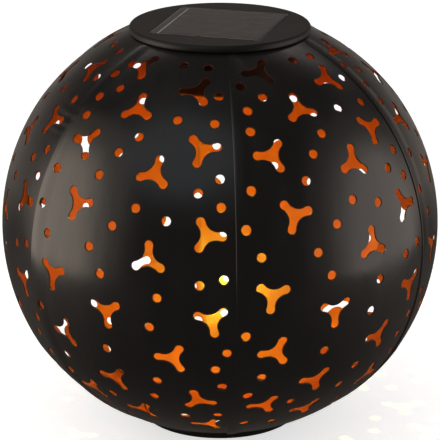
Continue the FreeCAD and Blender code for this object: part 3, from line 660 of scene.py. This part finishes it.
def star_outline(grown):
    """Outline of the star in its own plane, grown a little: three round ends with hollows between."""
    lean = STAR_END_RADIUS - STAR_WAIST
    hollow_centre = (STAR_ARM ** 2 - lean ** 2) / (STAR_ARM + 2 * lean)
    hollow_radius = hollow_centre - STAR_WAIST - grown
    half = radians(60)
    across, up = hollow_centre * cos(half) - STAR_ARM, hollow_centre * sin(half)
    end_span = atan2(up, across)
    hollow_span = atan2(-up, -across) + 2 * half
    points = []
    for arm in range(3):
        along = 2 * half * arm
        for i in range(STAR_END_STEPS + 1):
            step = end_span * (2 * i / STAR_END_STEPS - 1)
            points.append((along, STAR_ARM, STAR_END_RADIUS + grown, along + step))
        for i in range(1, STAR_HOLLOW_STEPS):
            step = hollow_span * (1 - 2 * i / STAR_HOLLOW_STEPS)
            points.append((along + half, hollow_centre, hollow_radius, along + half + pi + step))
    return [(far * cos(way) + radius * cos(turn), far * sin(way) + radius * sin(turn))
            for way, far, radius, turn in points]


def star_punch():
    """A prism with the star's outline, at the globe's top: from there it is turned into place."""
    return new_object("star_punch", stacked("star_punch", [
        [(x, y, GLOBE_RADIUS + height) for x, y in star_outline(grown)]
        for height, grown in PUNCH_LEVELS]))


def dot_punch():
    """A round punch at the same place."""
    profile = [(DOT_RADIUS + grown, GLOBE_RADIUS + height, SHADED_CUT_EDGE) for height, grown in PUNCH_LEVELS]
    profile = [(0, profile[0][1], None), *profile, (0, profile[-1][1], SHADED_CUT_EDGE)]
    return new_object("dot_punch", lathed("dot_punch", profile, DOT_SIDES))


def beyond_ball(latitude):
    """How far the sheet's outer face lies outside the ball of the globe's radius."""
    zone = CROWN if latitude > CROWN_BLEND else FOOT if latitude < FOOT_BLEND else BELLY
    rise, reach = zone[0] * sin(radians(latitude)), zone[0] * cos(radians(latitude))
    return rise + sqrt(zone[1] ** 2 - reach ** 2) - GLOBE_RADIUS


def punch_places(name, rows):
    """Loose points with a turn, a latitude and a direction for each punch, about the globe's centre."""
    points = []
    for turn, latitude, _ in rows:
        points.append(MIDDLE + direction(turn, latitude) * beyond_ball(latitude))
    mesh = bpy.data.meshes.new(name)
    mesh.from_pydata(points, [], [])
    for i, label in enumerate(("turn", "latitude", "direction")):
        values = mesh.attributes.new(label, "FLOAT", "POINT").data
        values.foreach_set("value", [radians(row[i]) for row in rows])
    return new_object(name, mesh)


def punch_tree():
    """Punches stars and dots out of a panel. Each punch is turned into place about the globe's centre."""
    tree, given = shape_tree("punched_panel", [
        ("Star Places", "Object"), ("Dot Places", "Object"), ("Star Punch", "Object"),
        ("Dot Punch", "Object"), ("Centre Height", "Float"),
        ("Outside", "Material"), ("Inside", "Material"), ("Edge", "Material")])

    def value(label):
        return add(tree, "GeometryNodeInputNamedAttribute", {"Name": label},
                   data_type="FLOAT").outputs["Attribute"]

    def instanced(places, punch):
        from_top = maths(tree, "SUBTRACT", pi / 2, value("latitude"))
        euler = joined(tree, X=from_top, Z=value("turn"))
        standing = add(tree, "FunctionNodeEulerToRotation", {"Euler": euler}).outputs[0]
        own = add(tree, "FunctionNodeAxisAngleToRotation",
                  {"Axis": (0, 0, 1), "Angle": value("direction")}).outputs[0]
        turned = add(tree, "FunctionNodeRotateRotation", {"Rotation": standing, "Rotate By": own},
                     rotation_space="LOCAL").outputs[0]
        return placed(tree, object_shape(tree, places), object_shape(tree, punch), Rotation=turned)

    punches = add(tree, "GeometryNodeJoinGeometry", {"Geometry": [
        instanced(given["Star Places"], given["Star Punch"]),
        instanced(given["Dot Places"], given["Dot Punch"])]}).outputs[0]
    punches = coated(tree, realized(tree, punches), given["Edge"])
    punched = cut_from(tree, coated(tree, given["Geometry"], given["Outside"]), [punches])
    centre = joined(tree, Z=given["Centre Height"])
    here = add(tree, "GeometryNodeInputPosition").outputs[0]
    outwards = vectors(tree, "NORMALIZE", vectors(tree, "SUBTRACT", here, centre))
    normal = add(tree, "GeometryNodeInputNormal").outputs["Normal"]
    facing = vectors(tree, "DOT_PRODUCT", normal, outwards)
    inward = add(tree, "FunctionNodeCompare", {0: facing, 1: INNER_FACE},
                 data_type="FLOAT", operation="LESS_THAN").outputs[0]
    done = coated(tree, realized(tree, punched), given["Inside"], Selection=inward)
    add(tree, "NodeGroupOutput", {"Geometry": done})
    return tree


def smooth_share(values, low, high):
    return ease(np.clip((values - low) / (high - low), 0, 1))


def sheet_normals(points):
    """Directions square to the first gore's outer face. They pass smoothly from zone to zone."""
    x, y, z = points.T
    reach = np.hypot(x, y)
    height = z - GLOBE_CENTRE
    latitude = np.degrees(np.arctan2(height, reach))
    slopes = [np.arctan2(height - zone[0], reach) for zone in (CROWN, BELLY, FOOT)]
    crown = smooth_share(latitude, CROWN_BLEND - ZONE_BLEND, CROWN_BLEND + ZONE_BLEND)
    foot = smooth_share(-latitude, -FOOT_BLEND - ZONE_BLEND, -FOOT_BLEND + ZONE_BLEND)
    slope = slopes[1] + crown * (slopes[0] - slopes[1]) + foot * (slopes[2] - slopes[1])
    middle = radians(FIRST_SEAM + PITCH / 2)
    across = (np.arctan2(x, -y) - middle + pi) % tau - pi
    facing = middle + across * GORE_FLATNESS
    out = np.stack((np.sin(facing), -np.cos(facing)), 1)
    normals = np.column_stack((out * np.cos(slope)[:, None], np.sin(slope)))
    turn = np.radians((np.degrees(np.arctan2(x, -y)) - FIRST_SEAM - LAP_TURN + 180) % 360 - 180)
    stepped = np.clip(turn * reach / JOGGLE_WIDTH, 0, 1)
    lap = 1 - smooth_share(np.degrees(slopes[0]), LAP_TOP, LAP_TOP + LAP_FADE)
    lap *= 1 - smooth_share(-np.degrees(slopes[2]), -LAP_BOTTOM, -LAP_BOTTOM + LAP_FADE)
    lean = RAISED * lap * 6 * stepped * (1 - stepped) / JOGGLE_WIDTH
    from_edge = (turn + radians(LAP_TURN)) * reach / ROLLED_WIDTH
    rolled = (from_edge > -0.01) & (from_edge < 1)
    lean -= np.where(rolled, 2 * ROLLED_DEPTH / ROLLED_WIDTH * (1 - from_edge), 0)
    normals[:, :2] += lean[:, None] * np.stack((-out[:, 1], out[:, 0]), 1)
    return normals / np.linalg.norm(normals, axis=1)[:, None]


def corner_normals(mesh):
    """Normals for the punched panel's corners: one smooth sheet, and only its edges keep flat faces."""
    corners = np.array([loop.vertex_index for loop in mesh.loops])
    points = np.empty(len(mesh.vertices) * 3)
    mesh.vertices.foreach_get("co", points)
    smooth = sheet_normals(points.reshape(-1, 3))[corners]
    flat = np.empty(len(mesh.polygons) * 3)
    mesh.polygons.foreach_get("normal", flat)
    totals = np.array([face.loop_total for face in mesh.polygons])
    flat = np.repeat(flat.reshape(-1, 3), totals, axis=0)
    facing = np.sum(smooth * flat, axis=1, keepdims=True)
    return np.where(facing > SHEET_FACE, smooth, np.where(facing < -SHEET_FACE, -smooth, flat))


def globe_panels():
    stars = [(FIRST_SEAM + turn, latitude, arm) for turn, latitude, arm in STARS]
    dots = [(FIRST_SEAM + turn, latitude, 0) for turn, latitude in DOTS]
    dots += [(turn + PITCH, latitude, 0) for turn, latitude, _ in dots
             if turn < FIRST_SEAM + DOT_OVER_SEAM]
    tools = [punch_places("star_places", stars), punch_places("dot_places", dots),
             star_punch(), dot_punch()]
    mesh = made_by(punch_tree(), plain_panel(), {
        "Star Places": tools[0], "Dot Places": tools[1], "Star Punch": tools[2], "Dot Punch": tools[3],
        "Centre Height": GLOBE_CENTRE,
        "Outside": PAINT, "Inside": LACQUER, "Edge": SHADED_CUT_EDGE})
    for tool in tools:
        bpy.data.objects.remove(tool)
    normals = corner_normals(mesh)
    mesh.polygons.foreach_set("use_smooth", [True] * len(mesh.polygons))
    for i in range(GORES):
        turn = Matrix.Rotation(radians(PITCH * i), 3, "Z")
        copy = mesh.copy()
        copy.transform(turn.to_4x4())
        copy.normals_split_custom_set((normals @ np.array(turn).T).tolist())
        panel = new_object(f"globe_panel_{i + 1}", copy)
        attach(panel, "globe")
        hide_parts(f"gore_{i + 1}")


globe_panels()


# ---- solar head
def softened(name, node, body, material, width, rim=None):
    """A solid's own shape with its sharp edges rounded. A rim is a radius and the width out there."""
    mesh = nodes[node].data.copy()
    work = bmesh.new()
    work.from_mesh(mesh)
    bmesh.ops.remove_doubles(work, verts=work.verts, dist=TINY)
    bmesh.ops.dissolve_limit(work, angle_limit=radians(FLAT_EDGE), verts=work.verts, edges=work.edges)
    rim_radius, rim_width = rim or (inf, width)
    weight = work.edges.layers.float.new("bevel_weight_edge")
    for edge in work.edges:
        if edge.calc_face_angle(0) > radians(SOFT_EDGE):
            on_rim = all(corner.co.xy.length > rim_radius - HAIR for corner in edge.verts)
            edge[weight] = 1.0 if on_rim or not rim else width / rim_width
    work.to_mesh(mesh)
    work.free()
    mesh.materials.clear()
    mesh.materials.append(material)
    piece = new_object(name, mesh)
    rounding = piece.modifiers.new("rounding", "BEVEL")
    rounding.width = rim_width
    rounding.segments = ROUNDING_STEPS
    rounding.limit_method = "WEIGHT"
    rounding.harden_normals = True
    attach(piece, body)
    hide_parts(node)


softened("solar_cap", "head_cover", "solar_head", PLASTIC, 0.3 * MM,
         (COVER_RADIUS, 0.7 * MM))
softened("lamp_housing", "head_housing", "solar_head", PLASTIC, 0.20 * MM)
softened("battery_lid", "battery_door", "door", PLASTIC, 0.18 * MM)
softened("slide_knob", "switch_knob", "switch", PLASTIC, 0.12 * MM)
softened("neck_collar", "collar_ring", "globe", PAINT, 0.15 * MM)
softened("foot_ring", "base_ring", "globe", BASE, 0.15 * MM)


def screw_tree():
    """Copies of a turned screw, each with a cross cut in its head."""
    tree, given = shape_tree("cross_screws", [
        ("Places", "Object"), ("Cross Length", "Float"), ("Cross Width", "Float"),
        ("Cross Depth", "Float"), ("Head Height", "Float"), ("Finish", "Material")])
    lift = joined(tree, Z=given["Head Height"])
    deep = maths(tree, "MULTIPLY", given["Cross Depth"], 2.0)
    cuts = []
    for x, y in (("Cross Length", "Cross Width"), ("Cross Width", "Cross Length")):
        size = joined(tree, X=given[x], Y=given[y], Z=deep)
        bar = add(tree, "GeometryNodeMeshCube", {"Size": size}).outputs["Mesh"]
        cuts.append(add(tree, "GeometryNodeTransform", {"Geometry": bar, "Translation": lift}).outputs[0])
    screw = cut_from(tree, given["Geometry"], cuts)
    copies = placed(tree, object_shape(tree, given["Places"]), screw)
    done = coated(tree, realized(tree, copies), given["Finish"])
    add(tree, "NodeGroupOutput", {"Geometry": done})
    return tree


def screws(name, node, body, places, seat, head_down, sizes):
    """Round-headed screws at places in plan, heads down or up from the height of their seat."""
    radius, length, head_radius, head_height = sizes
    flip = -1 if head_down else 1
    profile = [(0, -length), (radius * SCREW_TIP, -length), (radius, radius - length), (radius, 0)]
    profile += [(head_radius * out, head_height * up) for out, up in SCREW_HEAD]
    spots = bpy.data.meshes.new("places")
    spots.from_pydata([(x, flip * y, 0) for x, y in places], [], [])
    where = new_object("places", spots)
    mesh = made_by(SCREW_TREE, lathed(name, [(*corner, STEEL) for corner in profile]), {
        "Places": where, "Cross Length": 2 * head_radius * CROSS_SHARE, "Cross Width": CROSS_WIDTH,
        "Cross Depth": head_height / 2, "Head Height": head_height, "Finish": STEEL})
    bpy.data.objects.remove(where)
    if head_down:
        mesh.transform(Matrix.Rotation(pi, 4, "X"))
    mesh.transform(Matrix.Translation((0, 0, seat)))
    piece = new_object(name, mesh)
    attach(piece, body)
    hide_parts(node)


SCREW_TREE = screw_tree()
POST_PLACES = [POST_CIRCLE * direction(turn, 0).xy for turn in POST_TURNS]
screws("post_screws", "housing_screws", "solar_head", POST_PLACES, POST_SEAT, True, POST_SCREW)
screws("lid_screws", "door_screws", "door", LID_PLACES, LID_SEAT, True, SMALL_SCREW)
screws("circuit_screws", "board_screws", "solar_head", CIRCUIT_PLACES, CIRCUIT_SEAT, False, SMALL_SCREW)


def round_cell():
    """The rechargeable cell: a sleeve shrunk over a can, its flat end bare and its nub in a dark ring."""
    end, shoulder = BATTERY_RADIUS / MM, (BATTERY_LENGTH - NUB_LENGTH) / MM
    nub, tip = NUB_RADIUS / MM, BATTERY_LENGTH / MM
    profile = [(radius * MM, height * MM, material) for radius, height, material in (
        (0, 0, None), (end - 0.9, 0, NICKEL), (end - 0.75, 0.12, SLEEVE), (end - 0.4, 0, SLEEVE),
        (end - 0.1, 0.2, SLEEVE), (end, 0.5, SLEEVE), (end, shoulder - 0.7, SLEEVE),
        (end - 0.14, shoulder - 0.3, SLEEVE), (end - 0.5, shoulder, SLEEVE),
        (end - 0.9, shoulder - 0.05, SLEEVE), (end - 1.0, shoulder - 0.25, EPOXY),
        (nub + 0.5, shoulder - 0.25, EPOXY), (nub + 0.1, shoulder - 0.1, NICKEL),
        (nub, shoulder + 0.5, NICKEL), (nub - 0.3, tip, NICKEL), (0, tip, NICKEL))]
    mesh = lathed("round_cell", profile, 48)
    low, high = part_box("battery")
    mesh.transform(Matrix.Translation((low.x, (low.y + high.y) / 2, (low.z + high.z) / 2))
                   @ Matrix.Rotation(pi / 2, 4, "Y"))
    piece = new_object("round_cell", mesh)
    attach(piece, "solar_head")
    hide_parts("battery")


round_cell()


def grid_tree():
    """Thin bars side by side: one bar's length, width and thickness, their count and their spacing."""
    tree, given = shape_tree("bar_grid", [("Count", "Int"), ("Spacing", "Float"), ("Length", "Float"),
                                          ("Width", "Float"), ("Thickness", "Float"),
                                          ("Finish", "Material")])
    size = joined(tree, X=given["Length"], Y=given["Width"], Z=given["Thickness"])
    bar = add(tree, "GeometryNodeMeshCube", {"Size": size}).outputs["Mesh"]
    step = joined(tree, Y=given["Spacing"])
    line = add(tree, "GeometryNodeMeshLine", {"Count": given["Count"], "Offset": step}).outputs[0]
    bars = coated(tree, realized(tree, placed(tree, line, bar)), given["Finish"])
    add(tree, "NodeGroupOutput", {"Geometry": bars})
    return tree


def cell_grid():
    """Silver lines printed across the cells, and the bright ribbon along the left one."""
    tree = grid_tree()
    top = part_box("solar_cell")[1].z + RIBBON_THICKNESS / 2
    spacing = CELLS_SIDE / FINGER_COUNT
    fingers = made_by(tree, bpy.data.meshes.new("none"), {
        "Count": FINGER_COUNT, "Spacing": spacing, "Length": CELLS_SIDE, "Width": FINGER_WIDTH,
        "Thickness": RIBBON_THICKNESS, "Finish": PRINTED_SILVER})
    ribbon = made_by(tree, bpy.data.meshes.new("none"), {
        "Count": 1, "Spacing": 0.0, "Length": CELLS_SIDE, "Width": BUSBAR_WIDTH,
        "Thickness": 2 * RIBBON_THICKNESS, "Finish": TINNED})
    fingers.transform(Matrix.Translation((0, (spacing - CELLS_SIDE) / 2, top)))
    ribbon.transform(Matrix.Translation((BUSBAR_INSET - CELLS_SIDE / 2, 0, top))
                     @ Matrix.Rotation(pi / 2, 4, "Z"))
    for name, mesh in (("cell_fingers", fingers), ("cell_ribbon", ribbon)):
        mesh.transform(Matrix.Rotation(radians(PANEL_TURN), 4, "Z"))
        piece = new_object(name, mesh)
        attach(piece, "solar_head")


cell_grid()


def rounded_square(side, corner):
    """Outline of a square with rounded corners, anticlockwise, turned as the panel is."""
    points = []
    for quarter in range(4):
        middle = radians(45 + 90 * quarter)
        centre = (side / 2 - corner) * sqrt(2)
        for i in range(CORNER_STEPS + 1):
            angle = middle + radians(90) * (i / CORNER_STEPS - 0.5)
            x = centre * cos(middle) + corner * cos(angle)
            y = centre * sin(middle) + corner * sin(angle)
            points.append((x, y))
    turn = radians(PANEL_TURN)
    return [(x * cos(turn) - y * sin(turn), x * sin(turn) + y * cos(turn))
            for x, y in points]


def panel_resin():
    """Clear resin cast over the cells. Its top rounds down to the pocket's wall."""
    side = POCKET_SIDE + 2 * RESIN_BITE
    levels = [(side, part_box("cell_resin")[0].z - RIBBON_THICKNESS)]
    for i in range(RESIN_EDGE_STEPS + 1):
        inset = RESIN_EDGE * i / RESIN_EDGE_STEPS
        drop = RESIN_DROP * (1 - inset / RESIN_EDGE) ** 2
        levels.append((side - 2 * inset, COVER_TOP + RESIN_PROUD - drop))
    rings = [[(x, y, height) for x, y in rounded_square(wide, POCKET_CORNER)] for wide, height in levels]
    piece = new_object("panel_resin", stacked("panel_resin", rings))
    piece.data.materials.append(RESIN)
    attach(piece, "solar_head")
    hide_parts("cell_resin")


panel_resin()


# ---- finishes of the pieces that keep the solids' shape
FINISHES = {
    "base_plate": BASE, "cell_backing": BOARD, "solar_cell": CELL, "gasket": RUBBER,
    "contact_plus": NICKEL, "contact_spring": NICKEL, "circuit_board": MASK, "board_parts": EPOXY,
    "led": LENS, "switch_body": NICKEL, "cell_leads": LEAD, "battery_leads": LEAD,
}
for name, material in FINISHES.items():
    for piece_slot in nodes[name].material_slots:
        piece_slot.material = material


# ---- studio
def by_ray(tree, plain, mirrored, seen):
    """One look for light that falls on things, one for reflections, one for what the camera sees."""
    path = add(tree, "ShaderNodeLightPath").outputs
    looked = maths(tree, "MAXIMUM", path["Is Camera Ray"], path["Is Transmission Ray"])
    for share, other in ((path["Is Glossy Ray"], mirrored), (looked, seen)):
        plain = add(tree, "ShaderNodeMixShader", {0: share, 1: plain, 2: other}).outputs[0]
    return plain


def glow(tree, kind, colour, strength):
    return add(tree, "ShaderNode" + kind, {"Color": (*colour, 1), "Strength": strength}).outputs[0]


def studio_floor():
    """White as the camera and clear parts see it, and it keeps the shadow. In reflections it is dimmer,
    with painted light: a pool under each softbox and a lighter stretch behind the globe.
    """
    half = FLOOR_SIDE / 2
    corners = [(-half, -half, 0), (half, -half, 0), (half, half, 0), (-half, half, 0)]
    floor = new_object("studio_floor", new_mesh("studio_floor", corners, [(0, 1, 2, 3)], False))
    material, tree, shader = finish("white_ground", Roughness=0.9, Specular_IOR_Level=0.1)
    mottle = noise(tree, 0.05, 2)
    wear(tree, shader, Base_Color=tint(tree, mottle, (0.78, 0.78, 0.78), (0.80, 0.80, 0.80)))
    bright = glow(tree, "Emission", WHITE, FLOOR_GLOW)
    white = add(tree, "ShaderNodeAddShader", {0: shader.outputs[0], 1: bright}).outputs[0]
    here = split(tree, place(tree))
    beside = joined(tree, X=maths(tree, "ABSOLUTE", here["X"]), Y=here["Y"])
    away = vectors(tree, "DISTANCE", beside, (*PAINTED_POOL_MIDDLE, 0))
    # painted light, seen only in reflections: a pool of light under each softbox, and a lighter floor far
    # behind the globe
    painted_pool = spread(tree, away, *reversed(REFLECTED_FLOOR), 0, PAINTED_POOL_REACH)
    far = spread(tree, here["Y"], 0, REFLECTED_HORIZON, *HORIZON_FLOOR)
    dim = maths(tree, "MAXIMUM", painted_pool, far)
    result = by_ray(tree, shader.outputs[0], glow(tree, "Emission", ROOM_TINT, dim), white)
    tree.links.new(result, tree.nodes["Material Output"].inputs["Surface"])
    floor.data.materials.append(material)


def studio_world():
    """White behind the globe. Reflections show a dim warm room, lighter low down behind the globe."""
    world = bpy.data.worlds.new("studio")
    world.use_nodes = True
    tree = world.node_tree
    way = split(tree, add(tree, "ShaderNodeTexCoord").outputs["Generated"])
    low = spread(tree, way["Z"], 1, 0, 0.0, HORIZON_HEIGHT)
    behind = spread(tree, way["Y"], 0, 1, *HORIZON_SIDES)
    room = spread(tree, maths(tree, "MULTIPLY", low, behind), REFLECTED_ROOM, REFLECTED_HORIZON)
    plain = tree.nodes["Background"]
    plain.inputs["Color"].default_value = (*WHITE, 1)
    plain.inputs["Strength"].default_value = ROOM_LIGHT
    result = by_ray(tree, plain.outputs[0], glow(tree, "Background", ROOM_TINT, room),
                    glow(tree, "Background", WHITE, 1.0))
    tree.links.new(result, tree.nodes["World Output"].inputs["Surface"])
    bpy.context.scene.world = world


def softbox(name, turn, elevation, distance, width, height, radiance, colour):
    """Area lamp that faces the globe's centre, fading to its rim."""
    way = direction(turn, elevation)
    for layer, (share, grown) in enumerate(SOFTBOX_LAYERS):
        lamp = bpy.data.lights.new(name, "AREA")
        lamp.shape = "ELLIPSE"
        lamp.size, lamp.size_y = width * grown, height * grown
        lamp.energy = radiance * share * pi * pi / 4 * lamp.size * lamp.size_y
        lamp.color = colour
        box = new_object(name, lamp)
        box.visible_camera = False
        box.location = MIDDLE + way * (distance + layer * MM)
        box.rotation_euler = way.to_track_quat("Z", "Y").to_euler()


def studio_camera():
    lens = bpy.data.cameras.new("camera")
    lens.lens, lens.sensor_width = CAMERA_LENS, SENSOR_WIDTH
    camera = new_object("camera", lens)
    back = direction(0, CAMERA_ELEVATION)
    above = direction(180, 90 - CAMERA_ELEVATION)
    camera.location = MIDDLE + above * CAMERA_AIM_RISE + back * CAMERA_DISTANCE
    camera.rotation_euler = back.to_track_quat("Z", "Y").to_euler()
    bpy.context.scene.camera = camera


def lamp_beam():
    """The lamp's own light: a wide soft beam straight down."""
    light = bpy.data.lights.new("lamp_beam", "SPOT")
    light.energy, light.color, light.shadow_soft_size = LAMP_POWER, LAMP_COLOUR, LAMP_RADIUS
    light.spot_size, light.spot_blend = radians(BEAM_ANGLE), BEAM_SOFTNESS
    beam = new_object("lamp_beam", light)
    beam.location = (0, 0, LAMP_HEIGHT)


studio_floor()
studio_world()
studio_camera()
for row in SOFTBOXES:
    softbox(*row)
lamp_beam()
bpy.context.scene.view_settings.view_transform = "Standard"
